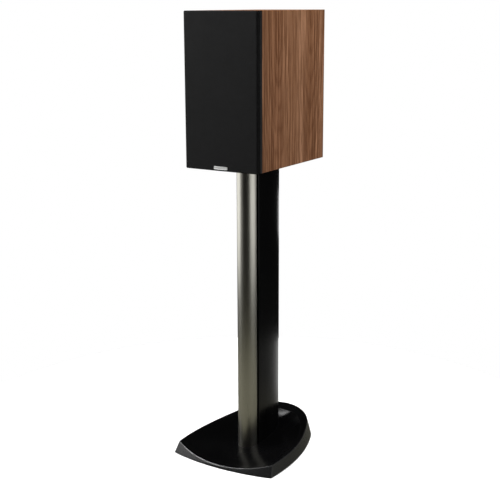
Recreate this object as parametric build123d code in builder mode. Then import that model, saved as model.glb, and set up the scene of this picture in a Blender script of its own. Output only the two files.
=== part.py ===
from build123d import *
import os
from math import cos, hypot, pi, sin, sqrt

os.makedirs("parts", exist_ok=True)

# Bookshelf loudspeaker on its floor stand, in millimetres.
# Frame: origin on the floor under the middle of the base, +Z up, the grille faces -Y, +X to the right.

# ---------------------------------------------------------------- driving dimensions
# Cabinet
cabinet_width = 182.0
cabinet_height = 335.0
cabinet_bottom = 677.0
baffle_front = -122.0
cabinet_back = 157.0
wall = 15.0
baffle_thickness = 18.0
baffle_face = 6.0
brace_bottom = 866.0
brace_thickness = 12.0

# Grille
grille_front = -137.0
grille_gap = 0.4
cloth_thickness = 0.8
cloth_clearance = 0.2
edge_round = 2.0
peg_x = 68.0
peg_heights = (703.0, 986.0)
peg_radius = 4.0
peg_root = 6.0
peg_length = 17.0
socket_radius = 6.0
socket_depth = 12.6
badge_width = 34.0
badge_height = 6.5
badge_thickness = 1.2
badge_bottom = 680.5

# Woofer and tweeter
woofer_height = 777.0
woofer_flange_radius = 74.5
woofer_flange_thickness = 5.0
woofer_cutout_radius = 64.5
woofer_screw_circle = 70.4
woofer_screw_count = 6
cone_radius = 53.0
coil_inner_radius = 14.6
coil_outer_radius = 15.6
tweeter_height = 935.0
tweeter_plate_radius = 52.0
tweeter_plate_thickness = 4.0
tweeter_cutout_radius = 38.0
tweeter_screw_circle = 46.0
tweeter_screw_count = 4
dome_radius = 12.7
driver_clearance = 0.3
pilot_depth = 12.0

# Rear port, terminal cup and binding posts
port_height = 905.0
port_inner_radius = 22.0
port_wall = 2.5
port_length = 110.0
port_shoulder = 5.0
port_flange_radius = 38.0
cup_height = 762.0
cup_width = 80.0
cup_tall = 60.0
cup_depth = 23.0
cup_wall = 2.5
cup_lip = 10.0
post_spacing = 19.0
post_radius = 8.3
stud_radius = 3.0
banana_radius = 2.0
banana_depth = 14.0
stud_end = 160.0
stud_reach = 9.0
base_length = 4.6
washer_thickness = 1.4
cap_length = 15.0

# Stand
base_gap = 1.5
base_front_radius = 493.4
base_front_apex = -165.0
base_side_radius = 478.9
base_side_centre = (-343.4, -86.8)
base_rear_radius = 105.7
base_rear_apex = 165.0
front_wall_slope = 0.6
side_wall_slope = 0.25
blank_height = 60.0
lip_height = 7.5
dish_half_width = 127.0
pillar_bottom = 9.3
pillar_top = 670.0
pillar_half_width = 23.0
front_pillar_back = -28.7
front_pillar_bulge = 29.0
rear_pillar_front = -19.7
rear_pillar_shoulder = -11.7
rear_pillar_bulge = 116.0
pillar_clearance = 0.15
cap_height = 4.0
port_y = (-41.0, 5.0, 70.0)
screw_port_radius = 7.0
top_plate_size = (130.0, 200.0)
pad_spacing = (96.0, 166.0)
top_plate_centre = 10.0
top_plate_thickness = 5.0
pad_radius = 11.0
pad_thickness = 1.7
foot_places = {"left": (-100.0, -125.0), "right": (100.0, -125.0), "rear": (0.0, 135.0)}
foot_radius = 14.0
foot_recess_top = 7.5
insert_top = 16.0
insert_radius = 6.0
insert_bore = 4.0
foot_pad_height = 6.5
foot_stud_radius = 3.92
foot_stud_bottom = 1.4
foot_stud_length = 14.0
spine_width = 34.0
spine_groove_radius = 2.0
bolt_radius = 4.0
bolt_head = 3.6
bolt_head_radius = 7.0
bolt_recess = 0.5
bolt_length = 34.0
plate_corner = 20.0
plate_screw_radius = 3.0
plate_screw_head = 5.8
plate_screw_length = 34.0

# Crossover network and damping
board_middle = 60.0
board_size = (104.0, 74.0)
board_thickness = 1.6
board_hole_inset = 10.0
inductor_places = ((-26.0, -14.0), (27.0, 14.0))
inductor_radius = 16.0
inductor_bore = 6.0
inductor_height = 15.0
capacitor_radius = 7.0
small_capacitor_radius = 6.0
resistor_places = ((6.0, -6.0), (46.0, -16.0))
resistor_size = (8.0, 24.0, 8.0)
foam_thickness = 14.0
foam_front = -40.0
foam_back = 110.0
foam_levels = ((732.0, 862.0), (882.0, 992.0))
wire_radius = 1.2
wire_bend = 8.0

# ---------------------------------------------------------------- values worked out from them
half_width = cabinet_width / 2
inner_half = half_width - wall
cabinet_top = cabinet_bottom + cabinet_height
floor_top = cabinet_bottom + wall
ceiling = cabinet_top - wall
cabinet_middle = cabinet_bottom + cabinet_height / 2
grille_back = baffle_front - grille_gap
panel_front = baffle_front + baffle_face
cloth_inside = grille_front + cloth_thickness
cup_floor = cabinet_back - cup_depth
base_front_centre = base_front_apex + base_front_radius
base_rear_centre = base_rear_apex - base_rear_radius
top_plate_top = pillar_top + top_plate_thickness
cup_screw_span = (cup_width + cup_lip, cup_tall + cup_lip)
board_height = floor_top + 6.0
board_top = board_height + board_thickness
board_hole_span = (board_size[0] - board_hole_inset, board_size[1] - board_hole_inset)
board_front = board_middle - board_size[1] / 2
board_back = board_middle + board_size[1] / 2
post_x = {"black": -post_spacing / 2, "red": post_spacing / 2}


def facing(y):
    """Upright plane at depth y, seen from the front: local x is X, local y is Z."""
    return Plane.XZ.offset(-y)


def driver_plane(height):
    """Plane for a driver's half profile: local x is the radius, local y the depth behind the baffle."""
    return Plane(origin=(0, baffle_front, height), x_dir=(1, 0, 0), z_dir=(0, 0, 1))


def driver_axis(height):
    """Axis that a driver is turned about."""
    return Axis((0, baffle_front, height), (0, 1, 0))


# ---------------------------------------------------------------- stand: base
def rim_height(y):
    """Height of the base's upper edge: level at the front and rising towards the rear."""
    run = max(0.0, (y + 120.0) / 280.0)
    return 26.0 + 25.0 * run**2.8


def dish_floor(y):
    """Height of the dish along its middle line: a thin front lip, a flat floor and a steep rear."""
    run = (y - base_front_apex) / 290.0
    return lip_height + 2.8 * (1 - (1 - run) ** 4) + 34.0 * max(0.0, run) ** 12


def dish_width(y):
    """Half width of the dish where it meets the rim."""
    run = max(0.0, (y + 121.7) / 247.0)
    return dish_half_width * sqrt(max(0.05, 1 - 0.93 * run**2))


def circles_meet(centre_a, radius_a, centre_b, radius_b):
    """The meeting point of two circles that lies on the right-hand side and towards the front."""
    dx = centre_b[0] - centre_a[0]
    dy = centre_b[1] - centre_a[1]
    gap = hypot(dx, dy)
    along = (radius_a**2 - radius_b**2 + gap**2) / (2 * gap)
    across = sqrt(radius_a**2 - along**2)
    x = centre_a[0] + along * dx / gap
    y = centre_a[1] + along * dy / gap
    return (x + across * dy / gap, y - across * dx / gap)


def base_outline(height, front_inset, side_inset):
    """Three-cornered outline of four arcs at a height, moved inwards by the two insets."""
    front = base_front_radius - front_inset
    side = base_side_radius - side_inset
    rear = base_rear_radius - side_inset
    corner = circles_meet(base_side_centre, side, (0, base_front_centre), front)
    reach_x = -base_side_centre[0]
    reach_y = base_rear_centre - base_side_centre[1]
    reach = hypot(reach_x, reach_y)
    blend = (
        base_side_centre[0] + side * reach_x / reach,
        base_side_centre[1] + side * reach_y / reach,
    )
    middle = (base_side_centre[0] + side, base_side_centre[1])
    with BuildSketch(Plane.XY.offset(height)) as outline:
        with BuildLine():
            ThreePointArc((-corner[0], corner[1]), (0, base_front_centre - front), corner)
            ThreePointArc(corner, middle, blend)
            ThreePointArc(blend, (0, base_rear_centre + rear), (-blend[0], blend[1]))
            ThreePointArc((-blend[0], blend[1]), (-middle[0], middle[1]), (-corner[0], corner[1]))
        make_face()
    return outline.sketch


def half_oval(back, bulge, half, clearance=0.0):
    """Front pillar's outline: half an oval with its flat side at the back."""
    with Locations((0, back)):
        Ellipse(half + clearance, bulge + clearance)
        with Locations((0, bulge)):
            Rectangle(3 * half, 2 * bulge, mode=Mode.SUBTRACT)


def teardrop(front, shoulder, bulge, half, clearance=0.0):
    """Rear pillar's outline: a short straight flank, then half a long oval to the rear."""
    with Locations((0, shoulder)):
        Ellipse(half + clearance, bulge + clearance)
        with Locations((0, -bulge - clearance)):
            Rectangle(3 * half, 2 * bulge + 2 * clearance, mode=Mode.SUBTRACT)
    with Locations((0, (front - clearance + shoulder) / 2)):
        Rectangle(2 * (half + clearance), shoulder - front + clearance)


def dish_section(y):
    """What the dish takes away at depth y: everything above an arc across the base."""
    half = dish_overrun * dish_width(y)
    low = dish_floor(y)
    high = low + max(rim_height(y) - low, 3.0) * dish_overrun**2
    with BuildSketch(facing(y)) as section:
        with BuildLine():
            ThreePointArc((-half, high), (0, low), (half, high))
            Polyline((half, high), (half, 120), (-half, 120), (-half, high))
        make_face()
    return section.sketch


dish_overrun = 1.06
dish_stations = (-230.0, -165.0, -110.0, -50.0, 0.0, 40.0, 75.0, 100.0, 116.0, 130.0)

base_foot = base_outline(base_gap, 0, 0)
base_crown = base_outline(
    base_gap + blank_height, front_wall_slope * blank_height, side_wall_slope * blank_height
)

with BuildPart() as base_casting:
    loft([base_foot, base_crown], ruled=True)
    # everything above the rim line is cut away
    with BuildSketch(Plane.YZ) as above_rim:
        with BuildLine():
            stations = (-190.0, -120.0, -50.0, 20.0, 80.0, 130.0, 190.0)
            Spline(*[(y, rim_height(y)) for y in stations])
            Polyline(
                (stations[-1], rim_height(stations[-1])),
                (stations[-1], 2 * blank_height),
                (stations[0], 2 * blank_height),
                (stations[0], rim_height(stations[0])),
            )
        make_face()
    extrude(amount=cabinet_width, both=True, mode=Mode.SUBTRACT)
    # the dish, lofted through arcs across the base
    loft([dish_section(y) for y in dish_stations], mode=Mode.SUBTRACT)
    # seats for the two pillars and the spine
    with BuildSketch(Plane.XY.offset(pillar_bottom)):
        half_oval(front_pillar_back, front_pillar_bulge, pillar_half_width, pillar_clearance)
        with Locations((0, (front_pillar_back + rear_pillar_front) / 2)):
            Rectangle(spine_width + 2, rear_pillar_front - front_pillar_back + 1)
    extrude(amount=blank_height, mode=Mode.SUBTRACT)
    with BuildSketch(Plane.XY.offset(pillar_bottom)):
        teardrop(
            rear_pillar_front, rear_pillar_shoulder, rear_pillar_bulge, pillar_half_width, pillar_clearance
        )
    extrude(amount=blank_height, mode=Mode.SUBTRACT)
    # counterbored holes for the pillar bolts, and the recesses and insert holes of the feet
    underside = Plane(origin=(0, 0, base_gap), x_dir=(1, 0, 0), z_dir=(0, 0, -1))
    with Locations(*[underside * Pos(0, -y, 0) for y in port_y]):
        CounterBoreHole(bolt_radius + 0.2, bolt_head_radius + 0.5, bolt_head + 0.6, depth=blank_height)
    with Locations(*[underside * Pos(x, -y, 0) for x, y in foot_places.values()]):
        CounterBoreHole(
            insert_radius, foot_radius + 1.5, foot_recess_top - base_gap, depth=insert_top - base_gap
        )
base_casting.part.label = "base_casting"
export_step(base_casting.part, "parts/base_casting.step")

with BuildPart() as foot_inserts:
    with BuildSketch(Plane.XY.offset(foot_recess_top)):
        with Locations(*foot_places.values()):
            Circle(insert_radius)
            Circle(insert_bore, mode=Mode.SUBTRACT)
    extrude(amount=insert_top - foot_recess_top)
foot_inserts.part.label = "foot_inserts"
export_step(foot_inserts.part, "parts/foot_inserts.step")

for side, (foot_x, foot_y) in foot_places.items():
    with BuildPart() as foot_pad:
        with BuildSketch():
            with Locations((foot_x, foot_y)):
                Circle(foot_radius)
        extrude(amount=foot_pad_height)
        chamfer(foot_pad.edges().filter_by(GeomType.CIRCLE), 1.0)
        with Locations((foot_x, foot_y, foot_pad_height)):
            Hole(insert_bore, depth=foot_pad_height - foot_stud_bottom + 0.2)
    foot_pad.part.label = "foot_pad_" + side
    export_step(foot_pad.part, "parts/foot_pad_" + side + ".step")

    with BuildPart() as foot_stud:
        with BuildSketch(Plane.XY.offset(foot_stud_bottom)):
            with Locations((foot_x, foot_y)):
                Circle(foot_stud_radius)
        extrude(amount=foot_stud_length)
    foot_stud.part.label = "foot_stud_" + side
    export_step(foot_stud.part, "parts/foot_stud_" + side + ".step")

# ---------------------------------------------------------------- stand: pillars
skin = 2.6


def oval_half(y, centre, bulge, half):
    """Half width of an oval at depth y."""
    return half * sqrt(1 - ((y - centre) / bulge) ** 2)


def web_width(y, centre, bulge, half):
    """Width of a web across a hollow pillar that ends inside its skin."""
    outer = oval_half(y, centre, bulge, half)
    inner = oval_half(y, centre, bulge - skin, half - skin)
    return outer + inner


with BuildPart() as front_pillar:
    with BuildSketch(Plane.XY.offset(pillar_bottom)):
        half_oval(front_pillar_back, front_pillar_bulge, pillar_half_width)
    extrude(amount=pillar_top - cap_height - pillar_bottom)
    with BuildSketch(Plane.XY.offset(pillar_bottom)):
        half_oval(front_pillar_back - skin, front_pillar_bulge - 2 * skin, pillar_half_width - skin)
    extrude(amount=pillar_top - pillar_bottom, mode=Mode.SUBTRACT)
    with BuildSketch(Plane.XY.offset(pillar_bottom)):
        with Locations((0, port_y[0])):
            Circle(screw_port_radius)
            Rectangle(
                web_width(port_y[0], front_pillar_back, front_pillar_bulge, pillar_half_width), skin
            )
            Circle(bolt_radius, mode=Mode.SUBTRACT)
    extrude(amount=pillar_top - cap_height - pillar_bottom)
front_pillar.part.label = "front_pillar"
export_step(front_pillar.part, "parts/front_pillar.step")

with BuildPart() as front_pillar_cap:
    with BuildSketch(Plane.XY.offset(pillar_top - cap_height)):
        half_oval(front_pillar_back, front_pillar_bulge, pillar_half_width, 0.5)
        with Locations((0, port_y[0])):
            Circle(3.4, mode=Mode.SUBTRACT)
    extrude(amount=cap_height)
front_pillar_cap.part.label = "front_pillar_cap"
export_step(front_pillar_cap.part, "parts/front_pillar_cap.step")

with BuildPart() as pillar_spine:
    with BuildSketch(Plane.XY.offset(pillar_bottom)) as spine_section:
        with Locations((0, (front_pillar_back + rear_pillar_front) / 2)):
            Rectangle(spine_width, rear_pillar_front - front_pillar_back)
            with GridLocations(spine_width, 0, 2, 1):
                Circle(spine_groove_radius, mode=Mode.SUBTRACT)
    extrude(amount=pillar_top - pillar_bottom)
pillar_spine.part.label = "pillar_spine"
export_step(pillar_spine.part, "parts/pillar_spine.step")

with BuildPart() as rear_pillar:
    with BuildSketch(Plane.XY.offset(pillar_bottom)) as rear_section:
        teardrop(rear_pillar_front, rear_pillar_shoulder, rear_pillar_bulge, pillar_half_width)
        fillet(rear_section.vertices().group_by(Axis.Y)[0], 1.5)
    extrude(amount=pillar_top - pillar_bottom)
    with BuildSketch(Plane.XY.offset(pillar_bottom)):
        teardrop(
            rear_pillar_front + skin,
            rear_pillar_shoulder,
            rear_pillar_bulge - skin,
            pillar_half_width - skin,
        )
    extrude(amount=pillar_top - pillar_bottom, mode=Mode.SUBTRACT)
    for y in port_y[1:]:
        with BuildSketch(Plane.XY.offset(pillar_bottom)):
            with Locations((0, y)):
                Circle(screw_port_radius)
                Rectangle(web_width(y, rear_pillar_shoulder, rear_pillar_bulge, pillar_half_width), skin)
                Circle(bolt_radius, mode=Mode.SUBTRACT)
        extrude(amount=pillar_top - pillar_bottom)
rear_pillar.part.label = "rear_pillar"
export_step(rear_pillar.part, "parts/rear_pillar.step")

with BuildPart() as base_bolts:
    with BuildSketch(Plane.XY.offset(base_gap + bolt_recess)):
        with Locations(*[(0, y) for y in port_y]):
            Circle(bolt_head_radius)
            RegularPolygon(3.0, 6, mode=Mode.SUBTRACT)
    extrude(amount=bolt_head)
    with BuildSketch(Plane.XY.offset(base_gap + bolt_recess + bolt_head - 1.2)):
        with Locations(*[(0, y) for y in port_y]):
            Circle(bolt_radius)
    extrude(amount=bolt_length)
base_bolts.part.label = "base_bolts"
export_step(base_bolts.part, "parts/base_bolts.step")

# ---------------------------------------------------------------- stand: top plate and pads
with BuildPart() as top_plate:
    with BuildSketch(Plane.XY.offset(pillar_top)):
        with Locations((0, top_plate_centre)):
            RectangleRounded(*top_plate_size, plate_corner)
    extrude(amount=top_plate_thickness)
    chamfer(top_plate.edges().group_by(Axis.Z)[-1], 0.8)
    with Locations(*[(0, y, top_plate_top) for y in port_y]):
        CounterSinkHole(plate_screw_radius + 0.2, plate_screw_head + 0.5)
top_plate.part.label = "top_plate"
export_step(top_plate.part, "parts/top_plate.step")

with BuildPart() as top_plate_screws:
    for y in port_y:
        with BuildSketch(Plane.YZ) as screw_half:
            with BuildLine():
                Polyline(
                    (y, top_plate_top - 0.4),
                    (y + plate_screw_head, top_plate_top - 0.4),
                    (y + plate_screw_radius, top_plate_top - 3.2),
                    (y + plate_screw_radius, top_plate_top - plate_screw_length),
                    (y, top_plate_top - plate_screw_length),
                    close=True,
                )
            make_face()
        revolve(axis=Axis((0, y, 0), (0, 0, 1)))
top_plate_screws.part.label = "top_plate_screws"
export_step(top_plate_screws.part, "parts/top_plate_screws.step")

with BuildPart() as isolation_pads:
    with BuildSketch(Plane.XY.offset(top_plate_top)):
        with Locations((0, top_plate_centre)):
            with GridLocations(*pad_spacing, 2, 2):
                Circle(pad_radius)
    extrude(amount=pad_thickness)
isolation_pads.part.label = "isolation_pads"
export_step(isolation_pads.part, "parts/isolation_pads.step")

# ---------------------------------------------------------------- cabinet
for side, sign in {"left": -1, "right": 1}.items():
    with BuildPart() as side_panel:
        with BuildSketch(facing(panel_front)):
            with Locations((sign * (half_width - wall / 2), cabinet_middle)):
                Rectangle(wall, cabinet_height)
        extrude(amount=-(cabinet_back - panel_front))
        chamfer(side_panel.faces().sort_by(Axis.X)[0 if sign < 0 else -1].edges(), 0.5)
    side_panel.part.label = "side_panel_" + side
    export_step(side_panel.part, "parts/side_panel_" + side + ".step")

for name, level in {"top_panel": ceiling, "bottom_panel": cabinet_bottom}.items():
    with BuildPart() as lid:
        with BuildSketch(Plane.XY.offset(level)):
            with Locations((0, (panel_front + cabinet_back) / 2)):
                Rectangle(2 * inner_half, cabinet_back - panel_front)
        extrude(amount=wall)
    lid.part.label = name
    export_step(lid.part, "parts/" + name + ".step")

with BuildPart() as front_baffle:
    with BuildSketch(facing(baffle_front)):
        with Locations((0, cabinet_middle)):
            Rectangle(cabinet_width, cabinet_height)
    extrude(amount=-baffle_face)
    with BuildSketch(facing(panel_front)):
        with Locations((0, cabinet_middle)):
            Rectangle(2 * inner_half, ceiling - floor_top)
    extrude(amount=baffle_face - baffle_thickness)
    # recess and opening for each driver, cut from the front
    with Locations(facing(baffle_front) * Pos(0, woofer_height, 0)):
        CounterBoreHole(
            woofer_cutout_radius,
            woofer_flange_radius + driver_clearance,
            woofer_flange_thickness,
            depth=baffle_thickness,
        )
    with Locations(facing(baffle_front) * Pos(0, tweeter_height, 0)):
        CounterBoreHole(
            tweeter_cutout_radius,
            tweeter_plate_radius + driver_clearance,
            tweeter_plate_thickness,
            depth=baffle_thickness,
        )
    with Locations(*[facing(baffle_front) * Pos(x, z, 0) for x in (-peg_x, peg_x) for z in peg_heights]):
        Hole(socket_radius, depth=socket_depth + 0.4)
    with Locations(facing(baffle_front + woofer_flange_thickness) * Pos(0, woofer_height, 0)):
        with PolarLocations(woofer_screw_circle, woofer_screw_count):
            Hole(1.8, depth=pilot_depth)
    with Locations(facing(baffle_front + tweeter_plate_thickness) * Pos(0, tweeter_height, 0)):
        with PolarLocations(tweeter_screw_circle, tweeter_screw_count, start_angle=45):
            Hole(1.6, depth=pilot_depth)
front_baffle.part.label = "front_baffle"
export_step(front_baffle.part, "parts/front_baffle.step")

with BuildPart() as rear_panel:
    with BuildSketch(facing(cabinet_back - wall)):
        with Locations((0, cabinet_middle)):
            Rectangle(2 * inner_half, ceiling - floor_top)
        with Locations((0, port_height)):
            Circle(port_inner_radius + port_wall + port_shoulder + 0.2, mode=Mode.SUBTRACT)
        with Locations((0, cup_height)):
            RectangleRounded(cup_width + 0.6, cup_tall + 0.6, 6.0, mode=Mode.SUBTRACT)
            with GridLocations(*cup_screw_span, 2, 2):
                Circle(1.75, mode=Mode.SUBTRACT)
    extrude(amount=-wall)
rear_panel.part.label = "rear_panel"
export_step(rear_panel.part, "parts/rear_panel.step")

brace_depth = cabinet_back - wall - baffle_front - baffle_thickness
with BuildPart() as window_brace:
    with BuildSketch(Plane.XY.offset(brace_bottom)):
        with Locations((0, baffle_front + baffle_thickness + brace_depth / 2)):
            Rectangle(2 * inner_half, brace_depth)
            with GridLocations(0, brace_depth / 2 - 4, 1, 2):
                RectangleRounded(100, brace_depth / 2 - 30, 15, mode=Mode.SUBTRACT)
    extrude(amount=brace_thickness)
window_brace.part.label = "window_brace"
export_step(window_brace.part, "parts/window_brace.step")

with BuildPart() as grille_sockets:
    with BuildSketch(facing(baffle_front)):
        with Locations((0, sum(peg_heights) / 2)):
            with GridLocations(2 * peg_x, peg_heights[1] - peg_heights[0], 2, 2):
                Circle(socket_radius)
                Circle(peg_radius + 0.25, mode=Mode.SUBTRACT)
    extrude(amount=-socket_depth)
grille_sockets.part.label = "grille_sockets"
export_step(grille_sockets.part, "parts/grille_sockets.step")

with BuildPart() as damping_foam:
    for low, high in foam_levels:
        with BuildSketch(Plane.XY.offset(low)):
            with Locations((0, (foam_front + foam_back) / 2)):
                with GridLocations(2 * (inner_half - 0.3) - foam_thickness, 0, 2, 1):
                    Rectangle(foam_thickness, foam_back - foam_front)
        extrude(amount=high - low)
damping_foam.part.label = "damping_foam"
export_step(damping_foam.part, "parts/damping_foam.step")

# ---------------------------------------------------------------- rear port and terminals
with BuildPart() as port_tube:
    with BuildSketch(driver_plane(port_height)):
        with BuildLine():
            inner = port_inner_radius
            outer = port_inner_radius + port_wall
            back = cabinet_back - baffle_front
            mouth = Line((inner, back - port_length), (inner, back - 10))
            flare = TangentArc(mouth @ 1, (inner + 6, back + 2), tangent=(0, 1))
            Polyline(
                flare @ 1,
                (port_flange_radius - 1.0, back + 2),
                (port_flange_radius, back),
                (outer + port_shoulder, back),
                (outer + port_shoulder, back - 10),
                (outer, back - 16),
                (outer, back - port_length),
                mouth @ 0,
            )
        make_face()
    revolve(axis=driver_axis(port_height))
port_tube.part.label = "port_tube"
export_step(port_tube.part, "parts/port_tube.step")

with BuildPart() as terminal_cup:
    with BuildSketch(facing(cabinet_back)):
        with Locations((0, cup_height)):
            RectangleRounded(cup_width + 2 * cup_lip, cup_tall + 2 * cup_lip, 8)
    extrude(amount=-cup_wall)
    with BuildSketch(facing(cup_floor - cup_wall)):
        with Locations((0, cup_height)):
            RectangleRounded(cup_width, cup_tall, 6)
    extrude(amount=-(cup_depth + cup_wall))
    with BuildSketch(facing(cup_floor)):
        with Locations((0, cup_height)):
            RectangleRounded(cup_width - 2 * cup_wall, cup_tall - 2 * cup_wall, 4)
    extrude(amount=-(cup_depth + cup_wall), mode=Mode.SUBTRACT)
    with BuildSketch(facing(cup_floor)):
        with Locations(*[(x, cup_height) for x in post_x.values()]):
            Circle(stud_radius + 0.1)
    extrude(amount=cup_wall, mode=Mode.SUBTRACT)
    with BuildSketch(facing(cabinet_back)):
        with Locations((0, cup_height)):
            with GridLocations(*cup_screw_span, 2, 2):
                Circle(1.9)
    extrude(amount=-cup_wall, mode=Mode.SUBTRACT)
terminal_cup.part.label = "terminal_cup"
export_step(terminal_cup.part, "parts/terminal_cup.step")

with BuildPart() as terminal_cup_screws:
    with BuildSketch(facing(cabinet_back + cup_wall)):
        with Locations((0, cup_height)):
            with GridLocations(*cup_screw_span, 2, 2):
                Circle(3.4)
    extrude(amount=-1.6)
    fillet(terminal_cup_screws.edges().group_by(Axis.Y)[-1], 1.2)
    with BuildSketch(facing(cabinet_back + cup_wall)):
        with Locations((0, cup_height)):
            with GridLocations(*cup_screw_span, 2, 2):
                Circle(1.75)
    extrude(amount=cup_wall + 12.0)
terminal_cup_screws.part.label = "terminal_cup_screws"
export_step(terminal_cup_screws.part, "parts/terminal_cup_screws.step")

with BuildPart() as binding_bases:
    with BuildSketch(facing(cup_floor)):
        with Locations(*[(x, cup_height) for x in post_x.values()]):
            Circle(post_radius)
            Circle(stud_radius + 0.1, mode=Mode.SUBTRACT)
    extrude(amount=-base_length)
binding_bases.part.label = "binding_bases"
export_step(binding_bases.part, "parts/binding_bases.step")

with BuildPart() as binding_studs:
    with BuildSketch(facing(cup_floor - cup_wall)):
        with Locations(*[(x, cup_height) for x in post_x.values()]):
            RegularPolygon(5.0, 6)
    extrude(amount=3.0)
    with BuildSketch(facing(cup_floor - cup_wall - stud_reach)):
        with Locations(*[(x, cup_height) for x in post_x.values()]):
            Circle(stud_radius)
    extrude(amount=-(stud_end - cup_floor + cup_wall + stud_reach))
    with BuildSketch(facing(stud_end)):
        with Locations(*[(x, cup_height) for x in post_x.values()]):
            Circle(banana_radius)
    extrude(amount=banana_depth, mode=Mode.SUBTRACT)
binding_studs.part.label = "binding_studs"
export_step(binding_studs.part, "parts/binding_studs.step")

washer_front = cup_floor + base_length + 0.4
cap_front = washer_front + washer_thickness + 0.1
for colour, x in post_x.items():
    with BuildPart() as post_washer:
        with BuildSketch(facing(washer_front)):
            with Locations((x, cup_height)):
                Circle(post_radius - 1.3)
                Circle(stud_radius + 0.2, mode=Mode.SUBTRACT)
        extrude(amount=-washer_thickness)
    post_washer.part.label = "post_washer_" + colour
    export_step(post_washer.part, "parts/post_washer_" + colour + ".step")

    with BuildPart() as post_cap:
        with BuildSketch(facing(cap_front)):
            with Locations((x, cup_height)):
                Circle(post_radius)
                with PolarLocations(post_radius + 0.5, 18):
                    Circle(0.95, mode=Mode.SUBTRACT)
        extrude(amount=-cap_length)
        with BuildSketch(facing(cap_front)):
            with Locations((x, cup_height)):
                Circle(stud_radius + 0.1)
        extrude(amount=-cap_length, mode=Mode.SUBTRACT)
        chamfer(post_cap.faces().sort_by(Axis.Y)[-1].outer_wire().edges(), 0.5)
    post_cap.part.label = "post_cap_" + colour
    export_step(post_cap.part, "parts/post_cap_" + colour + ".step")

# ---------------------------------------------------------------- crossover network
with BuildPart() as crossover_board:
    with BuildSketch(Plane.XY.offset(board_height)):
        with Locations((0, board_middle)):
            Rectangle(*board_size)
            with GridLocations(*board_hole_span, 2, 2):
                Circle(1.8, mode=Mode.SUBTRACT)
    extrude(amount=board_thickness)
crossover_board.part.label = "crossover_board"
export_step(crossover_board.part, "parts/crossover_board.step")

with BuildPart() as crossover_standoffs:
    with BuildSketch(Plane.XY.offset(floor_top)):
        with Locations((0, board_middle)):
            with GridLocations(*board_hole_span, 2, 2):
                Circle(3.5)
    extrude(amount=board_height - floor_top)
    with BuildSketch(Plane.XY.offset(board_height)):
        with Locations((0, board_middle)):
            with GridLocations(*board_hole_span, 2, 2):
                Circle(1.7)
    extrude(amount=board_thickness + 1.5)
crossover_standoffs.part.label = "crossover_standoffs"
export_step(crossover_standoffs.part, "parts/crossover_standoffs.step")

with BuildPart() as crossover_inductors:
    with BuildSketch(Plane.XY.offset(board_top)):
        with Locations(*[(x, board_middle + y) for x, y in inductor_places]):
            Circle(inductor_radius)
            Circle(inductor_bore, mode=Mode.SUBTRACT)
    extrude(amount=inductor_height)
crossover_inductors.part.label = "crossover_inductors"
export_step(crossover_inductors.part, "parts/crossover_inductors.step")

with BuildPart() as crossover_capacitors:
    with BuildSketch(Plane.YZ.offset(-44)):
        with Locations(*[(board_middle + y, board_top + capacitor_radius) for y in (13, 28)]):
            Circle(capacitor_radius)
    extrude(amount=29)
    with BuildSketch(Plane.YZ.offset(11)):
        with Locations((board_middle - 27, board_top + small_capacitor_radius)):
            Circle(small_capacitor_radius)
    extrude(amount=28)
crossover_capacitors.part.label = "crossover_capacitors"
export_step(crossover_capacitors.part, "parts/crossover_capacitors.step")

with BuildPart() as crossover_resistors:
    with BuildSketch(Plane.XY.offset(board_top)):
        with Locations(*[(x, board_middle + y) for x, y in resistor_places]):
            Rectangle(*resistor_size[:2])
    extrude(amount=resistor_size[2])
crossover_resistors.part.label = "crossover_resistors"
export_step(crossover_resistors.part, "parts/crossover_resistors.step")

# ---------------------------------------------------------------- woofer
basket_profile = [
    (58.5, 2.5),
    (66.4, 2.5),
    (66.4, 0.0),
    (woofer_flange_radius, 0.0),
    (woofer_flange_radius, woofer_flange_thickness),
    (63.5, woofer_flange_thickness),
    (63.5, 8.0),
    (49.5, 43.0),
    (17.0, 43.0),
    (17.0, 40.0),
    (41.0, 40.0),
    (41.0, 34.0),
    (50.5, 34.0),
    (59.5, 9.5),
    (58.5, 7.0),
]
with BuildPart() as woofer_basket:
    with BuildSketch(driver_plane(woofer_height)):
        with BuildLine():
            Polyline(*basket_profile, close=True)
        make_face()
    revolve(axis=driver_axis(woofer_height))
    with BuildSketch(facing(baffle_front + 13.0)):
        with Locations((0, woofer_height)):
            with PolarLocations(58.0, 6, start_angle=30):
                Rectangle(24, 34)
    extrude(amount=-19.0, mode=Mode.SUBTRACT)
    with Locations(facing(baffle_front) * Pos(0, woofer_height, 0)):
        with PolarLocations(woofer_screw_circle, woofer_screw_count):
            CounterSinkHole(2.1, 3.6, depth=6.0)
woofer_basket.part.label = "woofer_basket"
export_step(woofer_basket.part, "parts/woofer_basket.step")

with BuildPart() as woofer_screws:
    with Locations(facing(baffle_front + 0.2) * Pos(0, woofer_height, 0)):
        with PolarLocations(woofer_screw_circle, woofer_screw_count):
            Cone(1.75, 3.3, 1.6, align=(Align.CENTER, Align.CENTER, Align.MAX))
            Cylinder(1.75, 16.0, align=(Align.CENTER, Align.CENTER, Align.MAX))
woofer_screws.part.label = "woofer_screws"
export_step(woofer_screws.part, "parts/woofer_screws.step")

with BuildPart() as woofer_magnet:
    with BuildSketch(driver_plane(woofer_height)):
        with Locations((34.0, 56.5)):
            Rectangle(24.0, 15.0)
    revolve(axis=driver_axis(woofer_height))
woofer_magnet.part.label = "woofer_magnet"
export_step(woofer_magnet.part, "parts/woofer_magnet.step")

with BuildPart() as woofer_motor_plates:
    with BuildSketch(driver_plane(woofer_height)):
        with Locations((30.1, 46.0)):
            Rectangle(27.8, 6.0)
        with BuildLine():
            Polyline((5, 43), (14, 43), (14, 64), (44, 64), (44, 68), (41, 70), (5, 70), close=True)
        make_face()
    revolve(axis=driver_axis(woofer_height))
woofer_motor_plates.part.label = "woofer_motor_plates"
export_step(woofer_motor_plates.part, "parts/woofer_motor_plates.step")

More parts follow.
